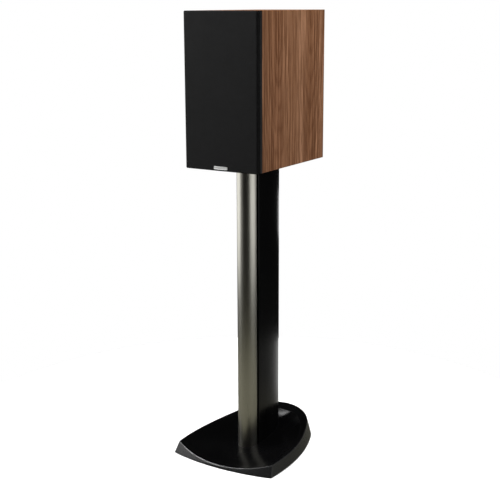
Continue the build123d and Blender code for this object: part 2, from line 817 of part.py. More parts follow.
with BuildPart() as woofer_cone:
    with BuildSketch(driver_plane(woofer_height)):
        with BuildLine():
            Polyline(
                (coil_outer_radius, 21.2),
                (coil_outer_radius, 20.2),
                (cone_radius - 2.0, 2.6),
                (cone_radius, 2.6),
                (cone_radius, 3.4),
                (cone_radius - 1.8, 3.4),
                close=True,
            )
        make_face()
    revolve(axis=driver_axis(woofer_height))
woofer_cone.part.label = "woofer_cone"
export_step(woofer_cone.part, "parts/woofer_cone.step")

dust_cap_radius = 22.0
with BuildPart() as woofer_dust_cap:
    with BuildSketch(driver_plane(woofer_height)):
        with BuildLine():
            RadiusArc((0, 8.6), (dust_cap_radius, 16.6), 33.6)
            Line((dust_cap_radius, 16.6), (dust_cap_radius - 1.0, 17.0))
            RadiusArc((0, 9.4), (dust_cap_radius - 1.0, 17.0), 33.6)
            Line((0, 8.6), (0, 9.4))
        make_face()
    revolve(axis=driver_axis(woofer_height))
woofer_dust_cap.part.label = "woofer_dust_cap"
export_step(woofer_dust_cap.part, "parts/woofer_dust_cap.step")

with BuildPart() as woofer_voice_coil:
    with BuildSketch(driver_plane(woofer_height)):
        with BuildLine():
            Polyline(
                (coil_inner_radius, 19.0),
                (coil_outer_radius, 19.0),
                (coil_outer_radius, 53.0),
                (coil_inner_radius, 53.0),
                close=True,
            )
        make_face()
    revolve(axis=driver_axis(woofer_height))
woofer_voice_coil.part.label = "woofer_voice_coil"
export_step(woofer_voice_coil.part, "parts/woofer_voice_coil.step")

roll_middle = 59.2
roll_radius = 4.8
roll_skin = 0.8
lip_level = 1.4
with BuildPart() as woofer_surround:
    with BuildSketch(driver_plane(woofer_height)):
        with Locations((roll_middle, lip_level + roll_skin)):
            Circle(roll_radius)
            Circle(roll_radius - roll_skin, mode=Mode.SUBTRACT)
            with Locations((0, roll_radius)):
                Rectangle(3 * roll_radius, 2 * roll_radius, mode=Mode.SUBTRACT)
            with Locations((-roll_radius - 1.0, -roll_skin / 2), (roll_radius + 0.8, -roll_skin / 2)):
                Rectangle(2.8, roll_skin)
    revolve(axis=driver_axis(woofer_height))
woofer_surround.part.label = "woofer_surround"
export_step(woofer_surround.part, "parts/woofer_surround.step")

spider_inner = coil_outer_radius + 0.3
spider_outer = 49.0
spider_waves = 7
spider_level = 32.6
wave_run = (44.0 - 19.0) / spider_waves
wave_points = [(19.0 + i * wave_run, spider_level - 2.2 * (i % 2)) for i in range(spider_waves + 1)]
spider_line = [(spider_inner, spider_level), *wave_points, (spider_outer, spider_level - 2.2)]
with BuildPart() as woofer_spider:
    with BuildSketch(driver_plane(woofer_height)):
        with BuildLine():
            Polyline(*spider_line, *[(r, d + 0.8) for r, d in reversed(spider_line)], close=True)
        make_face()
    revolve(axis=driver_axis(woofer_height))
woofer_spider.part.label = "woofer_spider"
export_step(woofer_spider.part, "parts/woofer_spider.step")

# ---------------------------------------------------------------- tweeter
with BuildPart() as tweeter_faceplate:
    with BuildSketch(driver_plane(tweeter_height)):
        with BuildLine():
            Line((16.6, tweeter_plate_thickness), (16.6, 3.0))
            ThreePointArc((16.6, 3.0), (20.0, 1.0), (28.0, 0.0))
            Polyline((28.0, 0.0), (tweeter_plate_radius - 0.8, 0.0), (tweeter_plate_radius, 0.8))
            Polyline(
                (tweeter_plate_radius, 0.8),
                (tweeter_plate_radius, tweeter_plate_thickness),
                (16.6, tweeter_plate_thickness),
            )
        make_face()
    revolve(axis=driver_axis(tweeter_height))
    with Locations(facing(baffle_front) * Pos(0, tweeter_height, 0)):
        with PolarLocations(tweeter_screw_circle, tweeter_screw_count, start_angle=45):
            CounterSinkHole(1.9, 3.3, depth=5.0)
tweeter_faceplate.part.label = "tweeter_faceplate"
export_step(tweeter_faceplate.part, "parts/tweeter_faceplate.step")

with BuildPart() as tweeter_screws:
    with Locations(facing(baffle_front + 0.2) * Pos(0, tweeter_height, 0)):
        with PolarLocations(tweeter_screw_circle, tweeter_screw_count, start_angle=45):
            Cone(1.55, 3.0, 1.5, align=(Align.CENTER, Align.CENTER, Align.MAX))
            Cylinder(1.55, 14.0, align=(Align.CENTER, Align.CENTER, Align.MAX))
tweeter_screws.part.label = "tweeter_screws"
export_step(tweeter_screws.part, "parts/tweeter_screws.step")

with BuildPart() as tweeter_magnet:
    with BuildSketch(driver_plane(tweeter_height)):
        with Locations((26.5, 14.0)):
            Rectangle(17.0, 12.0)
    revolve(axis=driver_axis(tweeter_height))
tweeter_magnet.part.label = "tweeter_magnet"
export_step(tweeter_magnet.part, "parts/tweeter_magnet.step")

with BuildPart() as tweeter_motor_plates:
    with BuildSketch(driver_plane(tweeter_height)):
        with Locations((23.85, 6.0)):
            Rectangle(20.3, 4.0)
        with BuildLine():
            Polyline((0, 5.5), (11.8, 5.5), (11.8, 20), (34, 20), (34, 24), (0, 24), close=True)
        make_face()
    revolve(axis=driver_axis(tweeter_height))
tweeter_motor_plates.part.label = "tweeter_motor_plates"
export_step(tweeter_motor_plates.part, "parts/tweeter_motor_plates.step")

with BuildPart() as tweeter_dome:
    with BuildSketch(driver_plane(tweeter_height)):
        with BuildLine():
            RadiusArc((0, -2.2), (dome_radius, 2.6), 19.2)
            Line((dome_radius, 2.6), (dome_radius + 0.3, 2.6))
            ThreePointArc((dome_radius + 0.3, 2.6), (14.4, 1.5), (15.6, 2.6))
            Polyline((15.6, 2.6), (16.2, 2.6), (16.2, 3.2), (13.0, 3.2), (13.0, 8.0), (12.4, 8.0))
            Polyline((12.4, 8.0), (12.4, 3.3))
            RadiusArc((0, -1.7), (12.4, 3.3), 19.2)
            Line((0, -2.2), (0, -1.7))
        make_face()
    revolve(axis=driver_axis(tweeter_height))
tweeter_dome.part.label = "tweeter_dome"
export_step(tweeter_dome.part, "parts/tweeter_dome.step")

# ---------------------------------------------------------------- inner leads
tweeter_back = baffle_front + 24.0
stud_start = cup_floor - cup_wall - stud_reach
terminal_y = baffle_front + 36.0
terminal_top = woofer_height - 54.2

input_routes = [
    (
        (x, stud_start, cup_height),
        (x, stud_start - 16, cup_height),
        (x, board_back - 6, cup_height - 36),
        (x, board_back - 6, board_top),
    )
    for x in post_x.values()
]
woofer_routes = [
    (
        (x, board_front + 7, board_top),
        (x, board_front + 7, board_top + 14),
        (x, -30, board_top + 9),
        (x, terminal_y, board_top + 4),
        (x, terminal_y, terminal_top - 4),
    )
    for x in (-6, 6)
]
tweeter_routes = [
    (
        (47, 66 + step, board_top),
        (47, 66 + step, 886 + step),
        (30 + step, 0, 915 + step),
        (6, -76, 930 + step),
        (6, tweeter_back, 930 + step),
    )
    for step in (0, 5)
]
for name, routes in {
    "input_leads": input_routes,
    "woofer_leads": woofer_routes,
    "tweeter_leads": tweeter_routes,
}.items():
    with BuildPart() as leads:
        for points in routes:
            with BuildLine(mode=Mode.PRIVATE) as route:
                FilletPolyline(*points, radius=wire_bend)
            with BuildSketch(Plane(origin=route.line @ 0, z_dir=route.line % 0)):
                Circle(wire_radius)
            sweep(path=route.line)
        if name == "woofer_leads":
            with BuildSketch(Plane.XY.offset(terminal_top - 4)):
                with Locations((-6, terminal_y), (6, terminal_y)):
                    Rectangle(6, 5)
            extrude(amount=4)
    leads.part.label = name
    export_step(leads.part, "parts/" + name + ".step")

# ---------------------------------------------------------------- grille
grille_length = grille_back - grille_front
skin_width = cabinet_width - 2 * cloth_thickness
skin_height = cabinet_height - 2 * cloth_thickness
with BuildPart() as grille_cloth:
    with BuildSketch(facing(grille_front)):
        with Locations((0, cabinet_middle)):
            Rectangle(cabinet_width, cabinet_height)
    extrude(amount=-grille_length)
    fillet(grille_cloth.faces().sort_by(Axis.Y)[0].edges(), edge_round)
    with BuildSketch(facing(cloth_inside)) as hollow:
        with Locations((0, cabinet_middle)):
            Rectangle(skin_width, skin_height)
    extrude(amount=-grille_length, mode=Mode.SUBTRACT)
    fillet(
        grille_cloth.faces().filter_by(Plane.XZ).sort_by(Axis.Y)[1].outer_wire().edges(),
        edge_round - cloth_thickness,
    )
grille_cloth.part.label = "grille_cloth"
export_step(grille_cloth.part, "parts/grille_cloth.step")

frame_front = cloth_inside + cloth_clearance
frame_thickness = grille_back - frame_front
with BuildPart() as grille_frame:
    with BuildSketch(facing(frame_front)):
        with Locations((0, cabinet_middle)):
            Rectangle(skin_width - 2 * cloth_clearance, skin_height - 2 * cloth_clearance)
    extrude(amount=-frame_thickness)
    chamfer(grille_frame.faces().sort_by(Axis.Y)[0].edges(), edge_round)
    for height, radius in ((woofer_height, 72.0), (tweeter_height, 48.0)):
        with Locations(facing(frame_front) * Pos(0, height, 0)):
            Hole(radius, depth=frame_thickness)
    with Locations(*[facing(grille_back) * Pos(x, z, 0) for x in (-peg_x, peg_x) for z in peg_heights]):
        Cylinder(
            peg_radius, peg_root, align=(Align.CENTER, Align.CENTER, Align.MIN), mode=Mode.SUBTRACT
        )
grille_frame.part.label = "grille_frame"
export_step(grille_frame.part, "parts/grille_frame.step")

with BuildPart() as grille_pegs:
    with BuildSketch(facing(grille_back - peg_root)):
        with Locations((0, sum(peg_heights) / 2)):
            with GridLocations(2 * peg_x, peg_heights[1] - peg_heights[0], 2, 2):
                Circle(peg_radius)
    extrude(amount=-peg_length)
    chamfer(grille_pegs.edges().group_by(Axis.Y)[-1], 1.0)
grille_pegs.part.label = "grille_pegs"
export_step(grille_pegs.part, "parts/grille_pegs.step")

with BuildPart() as grille_badge:
    with BuildSketch(facing(grille_front)):
        with Locations((0, badge_bottom + badge_height / 2)):
            RectangleRounded(badge_width, badge_height, 1.2)
    extrude(amount=badge_thickness)
    chamfer(grille_badge.faces().sort_by(Axis.Y)[0].edges(), 0.3)
grille_badge.part.label = "grille_badge"
export_step(grille_badge.part, "parts/grille_badge.step")
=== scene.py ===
import math

import bmesh
import bpy
from mathutils import Matrix, Vector


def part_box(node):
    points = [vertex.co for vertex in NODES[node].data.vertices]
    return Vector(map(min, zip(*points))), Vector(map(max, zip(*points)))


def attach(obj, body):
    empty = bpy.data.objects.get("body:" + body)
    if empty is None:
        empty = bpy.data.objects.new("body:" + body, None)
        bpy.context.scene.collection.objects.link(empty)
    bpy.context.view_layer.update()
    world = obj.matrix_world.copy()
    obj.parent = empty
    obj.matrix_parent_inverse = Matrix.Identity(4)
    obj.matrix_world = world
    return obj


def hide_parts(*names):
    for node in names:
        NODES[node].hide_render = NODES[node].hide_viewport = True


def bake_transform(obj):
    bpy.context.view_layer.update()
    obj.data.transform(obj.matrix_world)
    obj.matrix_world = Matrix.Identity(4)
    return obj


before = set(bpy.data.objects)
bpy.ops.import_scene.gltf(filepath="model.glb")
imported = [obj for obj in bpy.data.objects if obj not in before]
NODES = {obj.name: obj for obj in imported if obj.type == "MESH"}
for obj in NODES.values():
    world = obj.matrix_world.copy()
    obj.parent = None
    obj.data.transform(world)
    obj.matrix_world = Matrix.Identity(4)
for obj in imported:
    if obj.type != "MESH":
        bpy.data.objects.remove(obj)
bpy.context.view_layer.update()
MM = 0.001

# Camera: fitted to the corners of the cabinet and of the base. Tilt and lens were then changed a little.
CAMERA_PLACE = Vector((1203.66, -1953.8, 1026.8)) * MM
CAMERA_YAW = math.radians(31.901)
CAMERA_PITCH = math.radians(13.503)
CAMERA_ROLL = math.radians(-0.237)
CAMERA_LENS = 74.05

# Grille cloth, stretched over the front of its frame and round the edge.
CLOTH_THICKNESS = 0.5 * MM
CLOTH_EDGE_ROUND = 2.2 * MM
CLOTH_CORNER_ROUND = 2.4 * MM
WEAVE_PITCH = 0.9 * MM

# The woofer's place: the baffle's front face, and its axis above the floor.
BAFFLE_FRONT = -122 * MM
WOOFER_HEIGHT = 777 * MM

# Walnut figure: for each arch, where its middle and its top lie, and how fast it narrows downwards.
HEARTS = ((0.090, 1.03, 0.17), (-0.048, 1.00, 0.20))
RING_PITCH = 10.0 * MM


# ---------------------------------------------------------------- node helpers


def look(name, fixed):
    """A new material, its tree and its shader, with values that are the same all over set on the shader."""
    material = bpy.data.materials.new(name)
    material.use_nodes = True
    shader = material.node_tree.nodes["Principled BSDF"]
    for socket, value in fixed.items():
        shader.inputs[socket].default_value = value
    return material, material.node_tree, shader


def feed(tree, value, socket):
    """Links value to socket if it is an output, and sets it there if it is a number or a colour."""
    if isinstance(value, bpy.types.NodeSocket):
        tree.links.new(value, socket)
    else:
        socket.default_value = value


def surface_point(tree, scale=(1, 1, 1), turn=(0, 0, 0), shift=(0, 0, 0)):
    """The point on the piece in metres, scaled: a small scale along an axis draws a texture out along it."""
    coordinates = tree.nodes.new("ShaderNodeTexCoord")
    mapping = tree.nodes.new("ShaderNodeMapping")
    mapping.inputs["Scale"].default_value = scale
    mapping.inputs["Rotation"].default_value = turn
    mapping.inputs["Location"].default_value = shift
    tree.links.new(coordinates.outputs["Object"], mapping.inputs["Vector"])
    return mapping.outputs["Vector"]


def noise(tree, vector, scale, detail=3.0, roughness=0.5, distortion=0.0):
    node = tree.nodes.new("ShaderNodeTexNoise")
    node.inputs["Scale"].default_value = scale
    node.inputs["Detail"].default_value = detail
    node.inputs["Roughness"].default_value = roughness
    node.inputs["Distortion"].default_value = distortion
    tree.links.new(vector, node.inputs["Vector"])
    return node.outputs["Fac"]


def cells(tree, vector, scale, output="Distance"):
    node = tree.nodes.new("ShaderNodeTexVoronoi")
    node.inputs["Scale"].default_value = scale
    tree.links.new(vector, node.inputs["Vector"])
    return node.outputs[output]


def maths(tree, operation, a, b=0.0, clamp=False):
    node = tree.nodes.new("ShaderNodeMath")
    node.operation = operation
    node.use_clamp = clamp
    feed(tree, a, node.inputs[0])
    feed(tree, b, node.inputs[1])
    return node.outputs[0]


def distance(tree, a, b):
    """How far a point is from an axis, by its two distances across it."""
    squares = maths(tree, "ADD", maths(tree, "MULTIPLY", a, a), maths(tree, "MULTIPLY", b, b))
    return maths(tree, "SQRT", squares)


def parts_of(tree, vector):
    """The x, y and z of a vector."""
    node = tree.nodes.new("ShaderNodeSeparateXYZ")
    tree.links.new(vector, node.inputs[0])
    return node.outputs["X"], node.outputs["Y"], node.outputs["Z"]


def spread(tree, value, low, high, to_low=0.0, to_high=1.0):
    """value from low..high to to_low..to_high, clamped."""
    node = tree.nodes.new("ShaderNodeMapRange")
    node.inputs["From Min"].default_value = low
    node.inputs["From Max"].default_value = high
    node.inputs["To Min"].default_value = to_low
    node.inputs["To Max"].default_value = to_high
    tree.links.new(value, node.inputs["Value"])
    return node.outputs["Result"]


def ramp(tree, value, stops):
    """Colours along value: stops are (place, (red, green, blue))."""
    node = tree.nodes.new("ShaderNodeValToRGB")
    elements = node.color_ramp.elements
    while len(elements) < len(stops):
        elements.new(0.5)
    for element, (place, colour) in zip(elements, stops):
        element.position = place
    for element, (place, colour) in zip(elements, stops):
        element.color = (*colour, 1.0)
    tree.links.new(value, node.inputs["Fac"])
    return node.outputs["Color"]


def mix(tree, share, a, b, mode="MIX"):
    node = tree.nodes.new("ShaderNodeMix")
    node.data_type = "RGBA"
    node.blend_type = mode
    feed(tree, share, node.inputs[0])
    for value, socket in ((a, node.inputs[6]), (b, node.inputs[7])):
        feed(tree, value if isinstance(value, bpy.types.NodeSocket) else (*value, 1.0), socket)
    return node.outputs[2]


def choose(tree, share, a, b):
    """Between two values, as mix is between two colours."""
    node = tree.nodes.new("ShaderNodeMix")
    node.data_type = "FLOAT"
    for value, socket in ((share, node.inputs[0]), (a, node.inputs[2]), (b, node.inputs[3])):
        feed(tree, value, socket)
    return node.outputs[0]


def bump(tree, height, distance, under=None, strength=1.0):
    node = tree.nodes.new("ShaderNodeBump")
    node.inputs["Distance"].default_value = distance
    node.inputs["Strength"].default_value = strength
    tree.links.new(height, node.inputs["Height"])
    if under is not None:
        tree.links.new(under, node.inputs["Normal"])
    return node.outputs["Normal"]


def eased_edges(tree, radius):
    """The normal with sharp edges eased to a radius, and how near to such an edge a point is, 0 to 1."""
    bevel = tree.nodes.new("ShaderNodeBevel")
    bevel.samples = 6
    bevel.inputs["Radius"].default_value = radius
    geometry = tree.nodes.new("ShaderNodeNewGeometry")
    dot = tree.nodes.new("ShaderNodeVectorMath")
    dot.operation = "DOT_PRODUCT"
    tree.links.new(bevel.outputs["Normal"], dot.inputs[0])
    tree.links.new(geometry.outputs["Normal"], dot.inputs[1])
    near = spread(tree, dot.outputs["Value"], 1.0, 0.8)
    return bevel.outputs["Normal"], near


def finish(tree, shader, colour=None, roughness=None, normal=None):
    for socket, value in (("Base Color", colour), ("Roughness", roughness), ("Normal", normal)):
        if value is not None:
            tree.links.new(value, shader.inputs[socket])


# ---------------------------------------------------------------- materials


def walnut(name, along, seed):
    """Plain-sliced walnut veneer under satin lacquer. along is the grain's axis, "X" or "Z"."""
    material, tree, shader = look(name, {"Specular IOR Level": 0.16})
    turn = (0, math.radians(90), 0) if along == "X" else (0, 0, 0)
    point = surface_point(tree, turn=turn, shift=(0, 0, seed))
    _, across, height = parts_of(tree, point)

    # Growth rings cut by the slicing plane: arches that close downwards about two hearts, with near-straight
    # lines between.
    wander = noise(tree, surface_point(tree, (1, 9, 2.6), turn, (seed, 0, seed)), 1.0, 2.0, 0.5)
    wander = spread(tree, wander, 0.0, 1.0, -0.022, 0.022)
    shifted = maths(tree, "ADD", across, wander)
    rings = []
    for heart, level, lean in HEARTS:
        off = maths(tree, "SUBTRACT", shifted, heart)
        rise = maths(tree, "MULTIPLY", maths(tree, "SUBTRACT", height, level + seed), lean)
        rings.append(distance(tree, off, rise))
    nearest = maths(tree, "MINIMUM", rings[0], rings[1])
    phase = maths(tree, "MULTIPLY", nearest, 2 * math.pi / RING_PITCH)
    ragged = noise(tree, surface_point(tree, (1, 120, 6), turn), 1.0, 3.0, 0.6)
    phase = maths(tree, "ADD", phase, maths(tree, "MULTIPLY", ragged, 5.0))
    late = maths(tree, "POWER", spread(tree, maths(tree, "SINE", phase), -1.0, 1.0), 2.5)
    uneven = noise(tree, surface_point(tree, (1, 30, 1.6), turn, (0, seed, 0)), 1.0, 2.0, 0.5)
    late = maths(tree, "MULTIPLY", late, spread(tree, uneven, 0.35, 0.62, 0.15, 1.0))

    # Broad tone across the leaf, wandering a little with height.
    tone_place = maths(tree, "ADD", across, maths(tree, "MULTIPLY", wander, 0.5))
    tone = ramp(tree, spread(tree, tone_place, -0.116, 0.157), [
        (0.0, (0.176, 0.084, 0.043)), (0.05, (0.170, 0.081, 0.041)), (0.14, (0.198, 0.093, 0.047)),
        (0.24, (0.200, 0.093, 0.047)), (0.36, (0.224, 0.110, 0.058)), (0.48, (0.222, 0.108, 0.056)),
        (0.58, (0.262, 0.134, 0.074)), (0.66, (0.240, 0.119, 0.064)), (0.725, (0.180, 0.082, 0.040)),
        (0.80, (0.190, 0.088, 0.044)), (0.87, (0.226, 0.110, 0.058)), (1.0, (0.226, 0.110, 0.059))])
    dark_wood = mix(tree, 1.0, tone, (0.44, 0.37, 0.31), "MULTIPLY")
    light_wood = mix(tree, 1.0, tone, (1.42, 1.48, 1.55), "MULTIPLY")
    bands = noise(tree, surface_point(tree, (5, 75, 1.1), turn, (0, seed, 0)), 1.0, 3.0, 0.55)
    streak = noise(tree, surface_point(tree, (12, 190, 3.6), turn, (0, seed * 3, 0)), 1.0, 4.0, 0.75)
    fibre = noise(tree, surface_point(tree, (40, 420, 12), turn), 1.0, 4.0, 0.7)
    colour = mix(tree, maths(tree, "MULTIPLY", late, 0.85), tone, dark_wood)
    colour = mix(tree, spread(tree, bands, 0.50, 0.72, 0.0, 0.35), colour, dark_wood)
    colour = mix(tree, spread(tree, bands, 0.46, 0.26, 0.0, 0.45), colour, light_wood)
    colour = mix(tree, spread(tree, streak, 0.50, 0.585, 0.0, 0.95), colour, dark_wood)
    colour = mix(tree, spread(tree, streak, 0.47, 0.38, 0.0, 0.85), colour, light_wood)
    colour = mix(tree, spread(tree, fibre, 0.46, 0.60, 0.0, 0.65), colour, dark_wood)

    # Open pores: short dark dashes along the grain.
    pore = noise(tree, surface_point(tree, (300, 2100, 55), turn), 1.0, 2.0, 0.5)
    pores = spread(tree, pore, 0.60, 0.70)
    colour = mix(tree, maths(tree, "MULTIPLY", pores, 0.55), colour, (0.040, 0.017, 0.008))
    soft, near = eased_edges(tree, 1.2 * MM)
    # Painted highlight: the wood is made lighter along its eased edges.
    colour = mix(tree, maths(tree, "MULTIPLY", near, 0.35), colour, light_wood)
    roughness = spread(tree, fibre, 0.2, 0.8, 0.36, 0.50)
    relief = maths(tree, "SUBTRACT", maths(tree, "MULTIPLY", fibre, 0.4), pores)
    finish(tree, shader, colour, roughness, bump(tree, relief, 0.08 * MM, soft, 0.6))
    return material


def grille_fabric():
    """Black knitted speaker cloth: rows of small stitches, with the slight unevenness of a stretched knit."""
    material, tree, shader = look("grille_fabric_knit", {
        "Specular IOR Level": 0.08, "Sheen Weight": 0.02, "Sheen Roughness": 0.5})
    x, y, z = parts_of(tree, surface_point(tree, (2 * math.pi / WEAVE_PITCH,) * 3))
    u = maths(tree, "ADD", x, y)
    wales = spread(tree, maths(tree, "SINE", u), -1.0, 1.0)
    slanted = maths(tree, "ADD", z, maths(tree, "MULTIPLY", wales, 1.2))
    courses = spread(tree, maths(tree, "SINE", slanted), -1.0, 1.0)
    stitch = maths(tree, "MULTIPLY", wales, courses)
    uneven = noise(tree, surface_point(tree), 55.0, 3.0, 0.55)
    threads = noise(tree, surface_point(tree, (900, 900, 240)), 1.0, 2.0, 0.5)
    yarn = maths(tree, "ADD", maths(tree, "MULTIPLY", stitch, 0.75), maths(tree, "MULTIPLY", threads, 0.25))
    colour = ramp(tree, yarn, [
        (0.0, (0.0020, 0.0020, 0.0021)), (0.35, (0.0076, 0.0077, 0.0080)), (1.0, (0.0200, 0.0203, 0.0209))])
    colour = mix(tree, spread(tree, uneven, 0.3, 0.7, 0.0, 0.35), colour, (0.0150, 0.0152, 0.0157))
    # Painted shade: where the cloth turns away from the front onto the frame's sides, top and bottom, its
    # colour is multiplied down to about an eighth.
    geometry = tree.nodes.new("ShaderNodeNewGeometry")
    facing = parts_of(tree, geometry.outputs["Normal"])[1]
    turned = spread(tree, maths(tree, "ABSOLUTE", facing), 0.75, 0.35)
    painted_side_shade = mix(tree, 1.0, colour, (0.12, 0.115, 0.12), "MULTIPLY")
    colour = mix(tree, turned, colour, painted_side_shade)
    roughness = spread(tree, uneven, 0.3, 0.7, 0.74, 0.88)
    finish(tree, shader, colour, roughness, bump(tree, stitch, 0.22 * MM, None, 0.8))
    return material


def painted_board(name, colour, speckle):
    """Board with a matte painted or foiled face, rubbed a little at its edges."""
    material, tree, shader = look(name, {"Specular IOR Level": 0.35})
    grain = noise(tree, surface_point(tree), 1400.0, 3.0, 0.6)
    cloud = noise(tree, surface_point(tree), 14.0, 3.0, 0.5)
    soft, near = eased_edges(tree, 0.8 * MM)
    lighter = tuple(min(1.0, c * 2.4 + 0.004) for c in colour)
    shade = mix(tree, spread(tree, grain, 0.35, 0.75, 0.0, speckle), colour, lighter)
    shade = mix(tree, spread(tree, cloud, 0.3, 0.8, 0.0, 0.3), shade, lighter)
    shade = mix(tree, maths(tree, "MULTIPLY", near, 0.4), shade, lighter)
    roughness = spread(tree, cloud, 0.3, 0.7, 0.5, 0.62)
    finish(tree, shader, shade, roughness, bump(tree, grain, 0.06 * MM, soft, 0.5))
    return material


def fibre_board():
    """Raw medium-density fibreboard, as the brace inside."""
    material, tree, shader = look("raw_board_fibre", {"Specular IOR Level": 0.2})
    fibres = noise(tree, surface_point(tree, (1, 1, 2.5)), 420.0, 5.0, 0.7)
    colour = ramp(tree, fibres, [
        (0.25, (0.20, 0.125, 0.062)), (0.5, (0.31, 0.20, 0.11)), (0.75, (0.44, 0.30, 0.18))])
    finish(tree, shader, colour, spread(tree, fibres, 0.3, 0.7, 0.8, 0.95), bump(tree, fibres, 0.15 * MM))
    return material


def moulded(name, colour, roughness, grain_size=0.5, depth=0.05, level=0.4):
    """Moulded plastic with a spark-eroded grain, paler and smoother where its edges are handled."""
    material, tree, shader = look(name, {"Specular IOR Level": level})
    grain = noise(tree, surface_point(tree), 1.0 / (grain_size * MM), 2.0, 0.5)
    cloud = noise(tree, surface_point(tree), 30.0, 3.0, 0.5)
    soft, near = eased_edges(tree, 0.35 * MM)
    paler = tuple(min(1.0, c * 1.7 + 0.006) for c in colour)
    shade = mix(tree, spread(tree, cloud, 0.3, 0.75, 0.0, 0.35), colour, paler)
    shade = mix(tree, maths(tree, "MULTIPLY", near, 0.5), shade, paler)
    rough = maths(tree, "SUBTRACT", spread(tree, cloud, 0.3, 0.7, roughness - 0.05, roughness + 0.06),
                  maths(tree, "MULTIPLY", near, 0.08))
    finish(tree, shader, shade, rough, bump(tree, grain, depth * MM, soft, 0.6))
    return material


def metal(name, colour, roughness, stretch=(1, 1, 1), scale=900.0, wear=0.5, depth=0.02, anisotropy=0.0,
          cloud_share=0.18):
    """Metal with a brushed, turned or cast surface: stretch draws the tool marks out along an axis."""
    material, tree, shader = look(name, {"Metallic": 1.0, "Anisotropic": anisotropy})
    marks = noise(tree, surface_point(tree, stretch), scale, 3.0, 0.6)
    cloud = noise(tree, surface_point(tree), 26.0, 3.0, 0.5)
    soft, near = eased_edges(tree, 0.4 * MM)
    darker = tuple(c * 0.62 for c in colour)
    brighter = tuple(min(1.0, c * 1.25 + 0.05) for c in colour)
    shade = mix(tree, spread(tree, cloud, 0.3, 0.75, 0.0, cloud_share), colour, darker)
    shade = mix(tree, spread(tree, marks, 0.35, 0.75, 0.0, 0.22), shade, darker)
    shade = mix(tree, maths(tree, "MULTIPLY", near, wear), shade, brighter)
    rough = spread(tree, marks, 0.25, 0.75, roughness - 0.05, roughness + 0.07)
    finish(tree, shader, shade, rough, bump(tree, marks, depth * MM, soft, 0.5))
    if anisotropy:
        tangent = tree.nodes.new("ShaderNodeTangent")
        tangent.direction_type = "RADIAL"
        tangent.axis = "Z"
        tree.links.new(tangent.outputs[0], shader.inputs["Tangent"])
    return material


def anodised_pillar():
    """Drawn aluminium, bead-blasted and anodised a warm silver: faint draw lines run up it."""
    return metal("silver_anodised_drawn", (0.60, 0.585, 0.52), 0.31, (1, 1, 0.012), 1500.0, wear=0.25,
                 depth=0.003, anisotropy=0.3, cloud_share=0.10)


def satin_bar():
    """Brushed, lacquered bar: the brushing runs along it, and scatters light enough to show in any view."""
    material, tree, shader = look("satin_badge_brushed", {"Metallic": 0.35, "Specular IOR Level": 0.5})
    marks = noise(tree, surface_point(tree, (0.02, 1, 1)), 2600.0, 3.0, 0.6)
    soft, near = eased_edges(tree, 0.3 * MM)
    colour = mix(tree, spread(tree, marks, 0.35, 0.7), (0.72, 0.72, 0.71), (0.46, 0.46, 0.45))
    colour = mix(tree, maths(tree, "MULTIPLY", near, 0.6), colour, (0.86, 0.86, 0.85))
    roughness = spread(tree, marks, 0.3, 0.7, 0.30, 0.42)
    finish(tree, shader, colour, roughness, bump(tree, marks, 0.01 * MM, soft, 0.5))
    return material


def base_paint():
    """Black paint on a casting: smooth and dark in the dish, a coarser satin coat on the outward walls.

    A wall is told from the dish by its facing away from the base's middle.
    """
    material, tree, shader = look("base_black_paint", {})
    geometry = tree.nodes.new("ShaderNodeNewGeometry")
    facing = parts_of(tree, geometry.outputs["Normal"])
    place = parts_of(tree, surface_point(tree))
    across = maths(tree, "MULTIPLY", facing[0], place[0])
    along = maths(tree, "MULTIPLY", facing[1], place[1])
    wall = spread(tree, maths(tree, "ADD", across, along), 0.010, 0.030)
    grit = noise(tree, surface_point(tree), 900.0, 3.0, 0.6)
    ripple = noise(tree, surface_point(tree), 210.0, 2.0, 0.5)
    cloud = noise(tree, surface_point(tree), 9.0, 4.0, 0.55)
    soft, near = eased_edges(tree, 3.2 * MM)
    cloudy = spread(tree, cloud, 0.35, 0.7, 0.0, 0.5)
    dish = mix(tree, cloudy, (0.0012, 0.0012, 0.0013), (0.0024, 0.0024, 0.0026))
    gritty = spread(tree, grit, 0.40, 0.72)
    sides = mix(tree, gritty, (0.0055, 0.0056, 0.0058), (0.0145, 0.0147, 0.0151))
    colour = mix(tree, wall, dish, sides)
    # Painted highlight: the paint is made lighter along eased edges, such as the front wall's top edge.
    colour = mix(tree, maths(tree, "MULTIPLY", near, 0.6), colour, (0.036, 0.0364, 0.037))
    dish_rough = spread(tree, cloud, 0.3, 0.7, 0.22, 0.29)
    wall_rough = spread(tree, grit, 0.3, 0.7, 0.25, 0.34)
    gloss = spread(tree, maths(tree, "MAXIMUM", wall, near), 0.0, 1.0, 0.055, 0.42)
    tree.links.new(gloss, shader.inputs["Specular IOR Level"])
    relief = maths(tree, "ADD", maths(tree, "MULTIPLY", ripple, 0.25), maths(tree, "MULTIPLY", grit, wall))
    rough = choose(tree, wall, dish_rough, wall_rough)
    finish(tree, shader, colour, rough, bump(tree, relief, 0.05 * MM, soft, 0.5))
    return material


def pillar_paint(name, roughness, level):
    """Black powder coat on steel or aluminium, with its fine orange peel."""
    material, tree, shader = look(name, {"Specular IOR Level": level})
    peel = noise(tree, surface_point(tree), 420.0, 2.0, 0.5)
    cloud = noise(tree, surface_point(tree, (1, 1, 0.25)), 12.0, 3.0, 0.5)
    soft, near = eased_edges(tree, 0.8 * MM)
    colour = mix(tree, spread(tree, cloud, 0.3, 0.7), (0.0009, 0.0009, 0.0010), (0.0020, 0.0020, 0.0021))
    colour = mix(tree, maths(tree, "MULTIPLY", near, 0.4), colour, (0.016, 0.016, 0.017))
    rough = spread(tree, cloud, 0.3, 0.7, roughness - 0.03, roughness + 0.04)
    finish(tree, shader, colour, rough, bump(tree, peel, 0.03 * MM, soft, 0.5))
    return material


